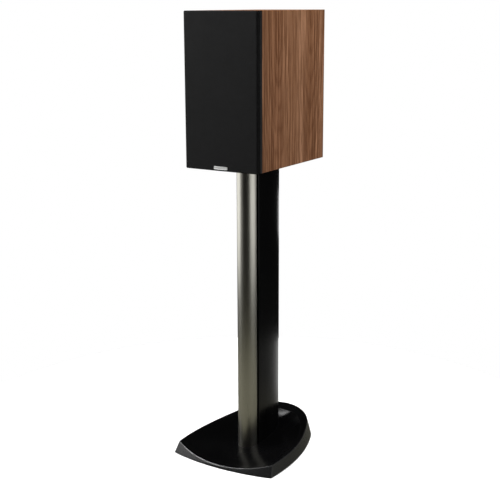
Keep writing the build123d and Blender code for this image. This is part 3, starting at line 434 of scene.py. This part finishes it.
def rubber(name, colour=(0.010, 0.010, 0.0105)):
    """Moulded rubber, dusty matte."""
    material, tree, shader = look(name, {"Specular IOR Level": 0.3, "Sheen Weight": 0.08})
    skin = noise(tree, surface_point(tree), 700.0, 3.0, 0.6)
    dust = noise(tree, surface_point(tree), 45.0, 4.0, 0.6)
    shade = mix(tree, spread(tree, dust, 0.45, 0.8, 0.0, 0.5), colour, (0.032, 0.031, 0.030))
    finish(tree, shader, shade, spread(tree, dust, 0.3, 0.7, 0.56, 0.74), bump(tree, skin, 0.04 * MM))
    return material


def cone_paper():
    """Pressed paper pulp, doped black, with fibres and faint rings about its axis."""
    material, tree, shader = look("cone_paper_pulp", {"Specular IOR Level": 0.3})
    centre = box_centre("woofer_cone")
    point = surface_point(tree, shift=tuple(-c for c in centre))
    x, _, z = parts_of(tree, point)
    ring_pitch = 1.7 * MM
    rings = maths(tree, "SINE", maths(tree, "MULTIPLY", distance(tree, x, z), 2 * math.pi / ring_pitch))
    pulp = noise(tree, surface_point(tree), 650.0, 5.0, 0.7)
    colour = ramp(tree, pulp, [
        (0.3, (0.006, 0.006, 0.0065)), (0.6, (0.016, 0.016, 0.017)), (0.8, (0.040, 0.040, 0.041))])
    relief = maths(tree, "ADD", pulp, maths(tree, "MULTIPLY", rings, 0.25))
    finish(tree, shader, colour, spread(tree, pulp, 0.3, 0.7, 0.55, 0.7), bump(tree, relief, 0.12 * MM))
    return material


def woven(name, colour, pitch, roughness):
    """Plain-woven cloth, resin-stiffened."""
    material, tree, shader = look(name, {"Specular IOR Level": 0.25, "Sheen Weight": 0.1})
    x, _, z = parts_of(tree, surface_point(tree, (2 * math.pi / (pitch * MM),) * 3))
    weave = maths(tree, "MULTIPLY", maths(tree, "SINE", x), maths(tree, "SINE", z))
    fuzz = noise(tree, surface_point(tree), 900.0, 3.0, 0.6)
    dark = tuple(c * 0.45 for c in colour)
    share = maths(tree, "ADD", spread(tree, weave, -1, 1, 0.0, 0.7), maths(tree, "MULTIPLY", fuzz, 0.3))
    shade = mix(tree, share, dark, colour)
    rough = spread(tree, fuzz, 0.3, 0.7, roughness, roughness + 0.1)
    finish(tree, shader, shade, rough, bump(tree, weave, 0.15 * MM))
    return material


def foam():
    """Open-cell grey foam."""
    material, tree, shader = look("foam_grey_cells", {"Specular IOR Level": 0.15, "Sheen Weight": 0.2})
    pits = cells(tree, surface_point(tree), 900.0)
    cloud = noise(tree, surface_point(tree), 22.0, 3.0, 0.5)
    colour = ramp(tree, pits, [
        (0.0, (0.015, 0.015, 0.017)), (0.5, (0.070, 0.071, 0.075)), (1.0, (0.12, 0.121, 0.126))])
    colour = mix(tree, spread(tree, cloud, 0.3, 0.7, 0.0, 0.3), colour, (0.05, 0.05, 0.052))
    finish(tree, shader, colour, spread(tree, cloud, 0.3, 0.7, 0.88, 0.97), bump(tree, pits, 0.4 * MM))
    return material


def circuit_board():
    """Green solder mask over glass cloth, with paler copper runs under it."""
    material, tree, shader = look("board_green_mask", {"Specular IOR Level": 0.5})
    runs = cells(tree, surface_point(tree, (1, 0.6, 1)), 70.0)
    weave = noise(tree, surface_point(tree), 1300.0, 2.0, 0.5)
    mask, over_copper = (0.012, 0.075, 0.028), (0.035, 0.15, 0.058)
    colour = ramp(tree, runs, [(0.0, mask), (0.42, mask), (0.47, over_copper), (1.0, over_copper)])
    finish(tree, shader, colour, spread(tree, weave, 0.3, 0.7, 0.22, 0.36), bump(tree, runs, 0.03 * MM))
    return material


def windings():
    """Enamelled copper wire, wound in close turns."""
    material, tree, shader = look("coil_copper_turns", {
        "Metallic": 0.9, "Coat Weight": 0.4, "Coat Roughness": 0.15})
    wire_pitch = 0.9 * MM
    z = parts_of(tree, surface_point(tree, (1, 1, 2 * math.pi / wire_pitch)))[2]
    turns = spread(tree, maths(tree, "SINE", z), -1.0, 1.0)
    tarnish = noise(tree, surface_point(tree), 120.0, 3.0, 0.5)
    colour = mix(tree, spread(tree, tarnish, 0.3, 0.7), (0.62, 0.22, 0.09), (0.36, 0.10, 0.040))
    colour = mix(tree, spread(tree, turns, 0.25, 0.0), colour, (0.07, 0.018, 0.008))
    finish(tree, shader, colour, spread(tree, tarnish, 0.3, 0.7, 0.24, 0.36), bump(tree, turns, 0.25 * MM))
    return material


def lead_pair():
    """Twin PVC leads: red on one side of the pair, black on the other."""
    material, tree, shader = look("wire_red_black_pvc", {"Specular IOR Level": 0.45})
    x = parts_of(tree, surface_point(tree))[0]
    side = spread(tree, x, -0.5 * MM, 0.5 * MM)
    rub = noise(tree, surface_point(tree), 220.0, 3.0, 0.5)
    colour = mix(tree, side, (0.010, 0.010, 0.011), (0.34, 0.010, 0.008))
    colour = mix(tree, spread(tree, rub, 0.4, 0.8, 0.0, 0.25), colour, (0.10, 0.06, 0.05))
    finish(tree, shader, colour, spread(tree, rub, 0.3, 0.7, 0.32, 0.46), bump(tree, rub, 0.03 * MM))
    return material


def titanium_dome():
    """Thin metal diaphragm, hazy with rolling marks."""
    return metal("dome_titanium_foil", (0.50, 0.49, 0.47), 0.22, (1, 1, 0.2), 700.0, 0.3, 0.01)


def box_centre(node):
    low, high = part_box(node)
    return (low + high) / 2


def paint_nodes():
    """Gives each CAD node its slot's finish, and returns the finishes by slot.

    The grain of the top and bottom panels runs across the cabinet.
    """
    walnut_upright = walnut("walnut_veneer_upright", "Z", 0.0)
    walnut_cross = walnut("walnut_veneer_cross", "X", 0.37)
    finishes = {
        "walnut_veneer": walnut_upright,
        "black_mdf": painted_board("black_mdf_paint", (0.0040, 0.0040, 0.0043), 0.5),
        "raw_board": fibre_board(),
        "grille_fabric": grille_fabric(),
        "satin_badge": satin_bar(),
        "black_abs": moulded("black_abs_grained", (0.0085, 0.0085, 0.0090), 0.42),
        "gold_contact": metal("gold_contact_plate", (0.83, 0.60, 0.25), 0.22, (1, 1, 1), 900.0, 0.4, 0.01),
        "board_green": circuit_board(),
        "coil_copper": windings(),
        "capacitor_film": moulded("capacitor_film_sleeve", (0.42, 0.30, 0.05), 0.30, 2.0, 0.03, 0.5),
        "resistor_white": moulded("resistor_white_cement", (0.60, 0.59, 0.55), 0.75, 0.4, 0.10, 0.3),
        "wire_red_black": lead_pair(),
        "basket_metal": pillar_paint("basket_metal_paint", 0.42, 0.4),
        "ferrite": moulded("ferrite_sintered", (0.030, 0.029, 0.029), 0.62, 0.9, 0.09, 0.4),
        "zinc_steel": metal("zinc_steel_plate", (0.58, 0.59, 0.60), 0.32, (1, 1, 1), 500.0, 0.5, 0.02),
        "spider_cloth": woven("spider_cloth_weave", (0.42, 0.26, 0.10), 0.9, 0.75),
        "cone_paper": cone_paper(),
        "dust_cap_black": moulded("dust_cap_black_film", (0.009, 0.009, 0.0095), 0.34, 1.2, 0.03, 0.5),
        "dome_titanium": titanium_dome(),
        "black_rubber": rubber("black_rubber_moulded"),
        "foam_grey": foam(),
        "base_black": base_paint(),
        "silver_anodised": anodised_pillar(),
        "polished_trim": metal("polished_trim_cap", (0.66, 0.65, 0.61), 0.16, (1, 1, 0.05), wear=0.3,
                               depth=0.008),
        "plate_black": pillar_paint("plate_black_coat", 0.40, 0.35),
        "pillar_black": pillar_paint("pillar_black_coat", 0.20, 0.34),
        "black_steel": metal("black_steel_oxide", (0.055, 0.054, 0.056), 0.36, (1, 1, 1), 800.0, 0.8, 0.02),
        "brass_insert": metal("brass_insert_turned", (0.70, 0.50, 0.20), 0.28, (1, 1, 6), 500.0, 0.4, 0.02),
        "cap_black": moulded("cap_black_resin", (0.009, 0.009, 0.0095), 0.26, 1.5, 0.02, 0.5),
        "cap_red": moulded("cap_red_resin", (0.36, 0.012, 0.010), 0.26, 1.5, 0.02, 0.5),
    }
    for name, node in NODES.items():
        slot = node.data.materials[0].name.split(".")[0]
        node.data.materials[0] = walnut_cross if name in ("top_panel", "bottom_panel") else finishes[slot]
    return finishes


# ---------------------------------------------------------------- pieces that replace CAD solids


def mesh_object(name, points, faces, material, smooth=True):
    mesh = bpy.data.meshes.new(name)
    mesh.from_pydata([tuple(p) for p in points], [], faces)
    mesh.update()
    if smooth:
        mesh.polygons.foreach_set("use_smooth", [True] * len(mesh.polygons))
    piece = bpy.data.objects.new(name, mesh)
    bpy.context.scene.collection.objects.link(piece)
    mesh.materials.append(material)
    return piece


def rounded_loop(half_x, half_z, radius, y, centre, steps=6):
    """Points round a rectangle with rounded corners, at that y: the same number whatever its size."""
    loop = []
    corners = ((1, 1, 0), (-1, 1, 90), (-1, -1, 180), (1, -1, 270))
    for sx, sz, start in corners:
        middle = Vector((centre.x + sx * (half_x - radius), y, centre.z + sz * (half_z - radius)))
        for i in range(steps + 1):
            a = math.radians(start + 90 * i / steps)
            loop.append(middle + Vector((math.cos(a) * radius, 0, math.sin(a) * radius)))
    return loop


def bridge(loops):
    """Faces between following loops of the same length."""
    count = len(loops[0])
    faces = []
    for i in range(len(loops) - 1):
        for j in range(count):
            k = (j + 1) % count
            faces.append((i * count + j, i * count + k, (i + 1) * count + k, (i + 1) * count + j))
    return faces


def face_outwards(piece, is_sheet=False):
    """Turns all faces the same way: outwards, or on an open sheet with its largest face to the front."""
    body = bmesh.new()
    body.from_mesh(piece.data)
    bmesh.ops.recalc_face_normals(body, faces=body.faces)
    if is_sheet and max(body.faces, key=lambda f: f.calc_area()).normal.y > 0:
        bmesh.ops.reverse_faces(body, faces=body.faces)
    body.to_mesh(piece.data)
    body.free()


def grille_cloth(material):
    """One sheet of knit, stretched over the front of the grille frame, round its edge and onto its sides."""
    low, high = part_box("grille_cloth")
    centre = (low + high) / 2
    half_x, half_z = (high.x - low.x) / 2, (high.z - low.z) / 2
    front, back = low.y, high.y
    side_corner_round = CLOTH_CORNER_ROUND + 0.3 * MM
    edge_steps = 5
    loops = []
    for inset in (30 * MM, 12 * MM, 5 * MM, CLOTH_EDGE_ROUND):
        loops.append(rounded_loop(half_x - inset, half_z - inset, CLOTH_CORNER_ROUND, front, centre))
    for i in range(1, edge_steps + 1):
        a = math.radians(90 * i / edge_steps)
        inset = CLOTH_EDGE_ROUND * (1 - math.sin(a))
        y = front + CLOTH_EDGE_ROUND * (1 - math.cos(a))
        loops.append(rounded_loop(half_x - inset, half_z - inset, side_corner_round, y, centre))
    for share in (0.25, 0.5, 0.75, 1.0):
        y = front + CLOTH_EDGE_ROUND + (back - front - CLOTH_EDGE_ROUND) * share
        loops.append(rounded_loop(half_x, half_z, side_corner_round, y, centre))
    points = [p for loop in loops for p in loop]
    faces = bridge(loops)
    faces.append(tuple(range(len(loops[0])))[::-1])
    piece = mesh_object("grille_cloth_sheet", points, faces, material)
    face_outwards(piece, is_sheet=True)
    thicken = piece.modifiers.new("cloth_thickness", "SOLIDIFY")
    thicken.thickness = CLOTH_THICKNESS
    thicken.offset = -1.0
    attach(piece, "grille")
    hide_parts("grille_cloth")


def badge(material):
    """A plain brushed bar with a raised, eased rim, where the photographed one carries a word."""
    low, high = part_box("grille_badge")
    centre = (low + high) / 2
    half_x, half_z = (high.x - low.x) / 2, (high.z - low.z) / 2
    corner_round = 1.4 * MM
    loops = []
    profile = ((0.0, high.y), (0.0, low.y + 0.35 * MM), (0.12 * MM, low.y + 0.1 * MM), (0.35 * MM, low.y),
               (0.7 * MM, low.y), (0.85 * MM, low.y + 0.12 * MM), (1.0 * MM, low.y + 0.25 * MM))
    for inset, y in profile:
        loops.append(rounded_loop(half_x - inset, half_z - inset, corner_round - inset * 0.8, y, centre))
    points = [p for loop in loops for p in loop]
    faces = bridge(loops)
    count = len(loops[0])
    faces.append(tuple(range(len(points) - count, len(points))))
    faces.append(tuple(range(count))[::-1])
    piece = mesh_object("grille_badge_bar", points, faces, material, smooth=False)
    face_outwards(piece)
    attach(piece, "grille")
    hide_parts("grille_badge")


def turned_piece(name, profile, height, material, segments=96):
    """A closed profile of (radius, depth behind the baffle's front), turned about an axis at that height."""
    points = []
    for i in range(segments):
        a = 2 * math.pi * i / segments
        points += [(r * math.cos(a), BAFFLE_FRONT + d, height + r * math.sin(a)) for r, d in profile]
    count = len(profile)
    faces = []
    for i in range(segments):
        j = (i + 1) % segments
        for k in range(count):
            m = (k + 1) % count
            faces.append((i * count + k, i * count + m, j * count + m, j * count + k))
    return mesh_object(name, points, faces, material)


def flex(piece):
    """Bakes the piece's placement into its mesh."""
    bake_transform(piece)


def woofer_surround(material):
    """Rubber half roll between cone and basket, with a fine rib along each lip."""
    middle, radius, skin, lip = 59.2 * MM, 4.8 * MM, 0.8 * MM, 1.4 * MM
    inner_edge, outer_edge, rib = 52.0 * MM, 66.2 * MM, 0.25 * MM
    steps = 16
    outer = []
    inner = []
    for i in range(steps + 1):
        a = math.pi * (1 - i / steps)
        outer.append((middle + radius * math.cos(a), lip + skin - radius * math.sin(a)))
        inner.append((middle + (radius - skin) * math.cos(a), lip + skin - (radius - skin) * math.sin(a)))
    start = [(inner_edge, lip + skin), (inner_edge, lip), (52.7 * MM, lip - rib), (53.4 * MM, lip)]
    end = [(65.0 * MM, lip), (65.6 * MM, lip - rib), (outer_edge, lip), (outer_edge, lip + skin)]
    profile = start + outer[1:-1] + end + inner[::-1]
    piece = turned_piece("woofer_surround_roll", profile, WOOFER_HEIGHT, material)
    flex(piece)
    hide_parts("woofer_surround")


def woofer_spider(material):
    """Corrugated cloth disc that centres the voice coil."""
    inner, outer, skin, level, depth = 15.9 * MM, 49.0 * MM, 0.8 * MM, 31.5 * MM, 1.1 * MM
    wave_start, wave_width, wave_end = 19.0 * MM, 25.0 * MM, 44.0 * MM
    half_waves, steps = 7, 84
    front = []
    for i in range(steps + 1):
        r = inner + (outer - inner) * i / steps
        run = min(1.0, max(0.0, (r - wave_start) / wave_width))
        front.append((r, level + depth * math.cos(run * half_waves * math.pi)))
    back = [(r, d + skin) for r, d in reversed(front)]
    piece = turned_piece("woofer_spider_disc", front + back, WOOFER_HEIGHT, material)
    flex(piece)
    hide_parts("woofer_spider")


def egg_crate_foam(material):
    """Four foam slabs on the side walls, each with a field of soft peaks facing into the cabinet."""
    low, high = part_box("damping_foam")
    thickness, peak, pitch = 14 * MM, 6 * MM, 24 * MM
    slab_heights = ((732 * MM, 862 * MM), (882 * MM, 992 * MM))
    rows, columns = 44, 50
    wide = columns + 1
    points = []
    faces = []
    for side in (-1, 1):
        for bottom, top in slab_heights:
            start = len(points)
            back = start + (rows + 1) * wide
            for peaked in (True, False):
                for row in range(rows + 1):
                    z = bottom + (top - bottom) * row / rows
                    for column in range(wide):
                        y = low.y + (high.y - low.y) * column / columns
                        wave = math.sin(2 * math.pi * y / pitch) * math.sin(2 * math.pi * z / pitch)
                        height = thickness - peak * (0.5 - 0.5 * wave) if peaked else 0.0
                        points.append((side * (high.x - height), y, z))
            slab = []
            for row in range(rows):
                for column in range(columns):
                    a = start + row * wide + column
                    b = back + row * wide + column
                    slab.append((a, a + wide, a + wide + 1, a + 1))
                    slab.append((b, b + 1, b + wide + 1, b + wide))
            edge = list(range(wide))
            edge += [r * wide + columns for r in range(1, rows + 1)]
            edge += [rows * wide + c for c in range(columns - 1, -1, -1)]
            edge += [r * wide for r in range(rows - 1, 0, -1)]
            for i, here in enumerate(edge):
                there = edge[(i + 1) % len(edge)]
                slab.append((start + here, start + there, back + there, back + here))
            faces += [face[::-1] for face in slab] if side > 0 else slab
    piece = mesh_object("damping_foam_slabs", points, faces, material)
    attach(piece, "cabinet")
    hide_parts("damping_foam")


# ---------------------------------------------------------------- camera, floor and light


def camera():
    data = bpy.data.cameras.new("camera")
    data.lens = CAMERA_LENS
    data.clip_start, data.clip_end = 0.05, 60.0
    eye = bpy.data.objects.new("camera", data)
    bpy.context.scene.collection.objects.link(eye)
    a, e, r = CAMERA_YAW, CAMERA_PITCH, CAMERA_ROLL
    back = Vector((math.sin(a) * math.cos(e), -math.cos(a) * math.cos(e), math.sin(e)))
    right = (-back).cross(Vector((0, 0, 1))).normalized()
    up = right.cross(-back)
    rolled_right = math.cos(r) * right + math.sin(r) * up
    rolled_up = -math.sin(r) * right + math.cos(r) * up
    turn = Matrix((rolled_right, rolled_up, back)).transposed()
    eye.matrix_world = Matrix.Translation(CAMERA_PLACE) @ turn.to_4x4()
    bpy.context.scene.camera = eye


def floor():
    """A round pale floor, white to the camera. To other rays it shows tones that go round with the place on
    it: a painted shadow behind the object to the right and painted light straight behind it, which the gloss
    paint mirrors as painted reflections.
    """
    segments, radius = 96, 0.8
    middle_grey, dark = (0.122, 0.119, 0.094), (0.030, 0.030, 0.026)
    lighter, bright = (0.10, 0.10, 0.095), (0.62, 0.62, 0.61)
    ring = [Vector((math.cos(2 * math.pi * i / segments), math.sin(2 * math.pi * i / segments), 0)) * radius
            for i in range(segments)]
    material, tree, shader = look("floor_pale", {"Roughness": 0.9, "Specular IOR Level": 0.0})
    cloud = noise(tree, surface_point(tree), 3.0, 2.0, 0.5)
    white = mix(tree, cloud, (0.93, 0.93, 0.93), (0.96, 0.96, 0.96))
    path = tree.nodes.new("ShaderNodeLightPath")
    x, y, _ = parts_of(tree, surface_point(tree))
    angle = maths(tree, "ARCTAN2", y, x)
    # Painted shadow (dark) behind and to the right of the object, painted light (bright) straight behind it,
    # grey elsewhere; only rays other than the camera's see them.
    around = ramp(tree, spread(tree, angle, -math.pi, math.pi), [
        (0.58, middle_grey), (0.635, dark), (0.70, lighter),
        (0.76, bright), (0.84, bright), (0.89, middle_grey)])
    mirrored = mix(tree, spread(tree, y, 0.15, 0.42), middle_grey, around)
    colour = mix(tree, path.outputs["Is Camera Ray"], mirrored, white)
    finish(tree, shader, colour)
    piece = mesh_object("floor", ring, [tuple(range(segments))], material, smooth=False)


def softbox(name, place, aim, width, height, power, lights_up=True, mirrored=False):
    """A rectangular lamp. One that lights the scene isn't mirrored in it, and a card is only mirrored."""
    data = bpy.data.lights.new(name, "AREA")
    data.shape = "RECTANGLE"
    data.size, data.size_y = width, height
    data.energy = power
    lamp = bpy.data.objects.new(name, data)
    bpy.context.scene.collection.objects.link(lamp)
    place = Vector(place)
    lamp.location = place
    lamp.rotation_mode = "QUATERNION"
    lamp.rotation_quaternion = (Vector(aim) - place).to_track_quat("-Z", "Y")
    lamp.visible_diffuse = lights_up
    lamp.visible_glossy = mirrored


def round_place(azimuth, distance, height):
    """A place at that azimuth, 0 in front of the grille and 90 to its right."""
    a = math.radians(azimuth)
    return (math.sin(a) * distance, -math.cos(a) * distance, height)


def card(name, azimuth, distance, low, high, width, radiance):
    """An upright card of that radiance, seen only where it is mirrored."""
    middle = (low + high) / 2
    place = round_place(azimuth, distance, middle)
    power = radiance * math.pi * width * (high - low)
    softbox(name, place, round_place(azimuth, 0.0, middle), width, high - low, power,
            lights_up=False, mirrored=True)


def lights():
    aim = (0, 0, 0.6)
    softbox("left_box", round_place(-72, 2.2, 1.3), aim, 1.8, 2.0, 70)
    softbox("right_box", round_place(100, 2.0, 1.3), aim, 1.4, 2.2, 40)
    softbox("top_box", (0.2, -0.3, 2.6), (0, 0, 0), 2.2, 2.2, 90)
    card("left_card", -76, 1.5, 0.02, 0.95, 2.2, 1.4)
    card("right_card", 105, 1.55, 0.02, 0.95, 1.5, 1.08)
    card("rear_card", 188, 1.3, 0.22, 0.38, 0.35, 1.2)
    card("front_card", -26, 1.7, 0.02, 0.95, 1.1, 0.28)
    softbox("wall_card", round_place(-57, 1.5, 1.75), (-0.1, -0.1, 0), 0.36, 0.6, 64,
            lights_up=False, mirrored=True)
    softbox("back_box", round_place(188, 2.4, 1.5), aim, 1.8, 1.8, 40)


def white_room():
    """White behind the object, and little light from elsewhere, so that black paint stays black."""
    world = bpy.data.worlds.new("studio")
    bpy.context.scene.world = world
    world.use_nodes = True
    tree = world.node_tree
    tree.nodes.clear()
    seen = tree.nodes.new("ShaderNodeBackground")
    seen.inputs["Color"].default_value = (1, 1, 1, 1)
    seen.inputs["Strength"].default_value = 1.0
    lit = tree.nodes.new("ShaderNodeBackground")
    lit.inputs["Color"].default_value = (1, 1, 1, 1)
    lit.inputs["Strength"].default_value = 0.012
    path = tree.nodes.new("ShaderNodeLightPath")
    either = tree.nodes.new("ShaderNodeMixShader")
    out = tree.nodes.new("ShaderNodeOutputWorld")
    tree.links.new(path.outputs["Is Camera Ray"], either.inputs[0])
    tree.links.new(lit.outputs[0], either.inputs[1])
    tree.links.new(seen.outputs[0], either.inputs[2])
    tree.links.new(either.outputs[0], out.inputs["Surface"])


finishes = paint_nodes()
grille_cloth(finishes["grille_fabric"])
badge(finishes["satin_badge"])
woofer_surround(finishes["black_rubber"])
woofer_spider(finishes["spider_cloth"])
egg_crate_foam(finishes["foam_grey"])
camera()
floor()
lights()
white_room()
bpy.context.scene.view_settings.view_transform = "Standard"
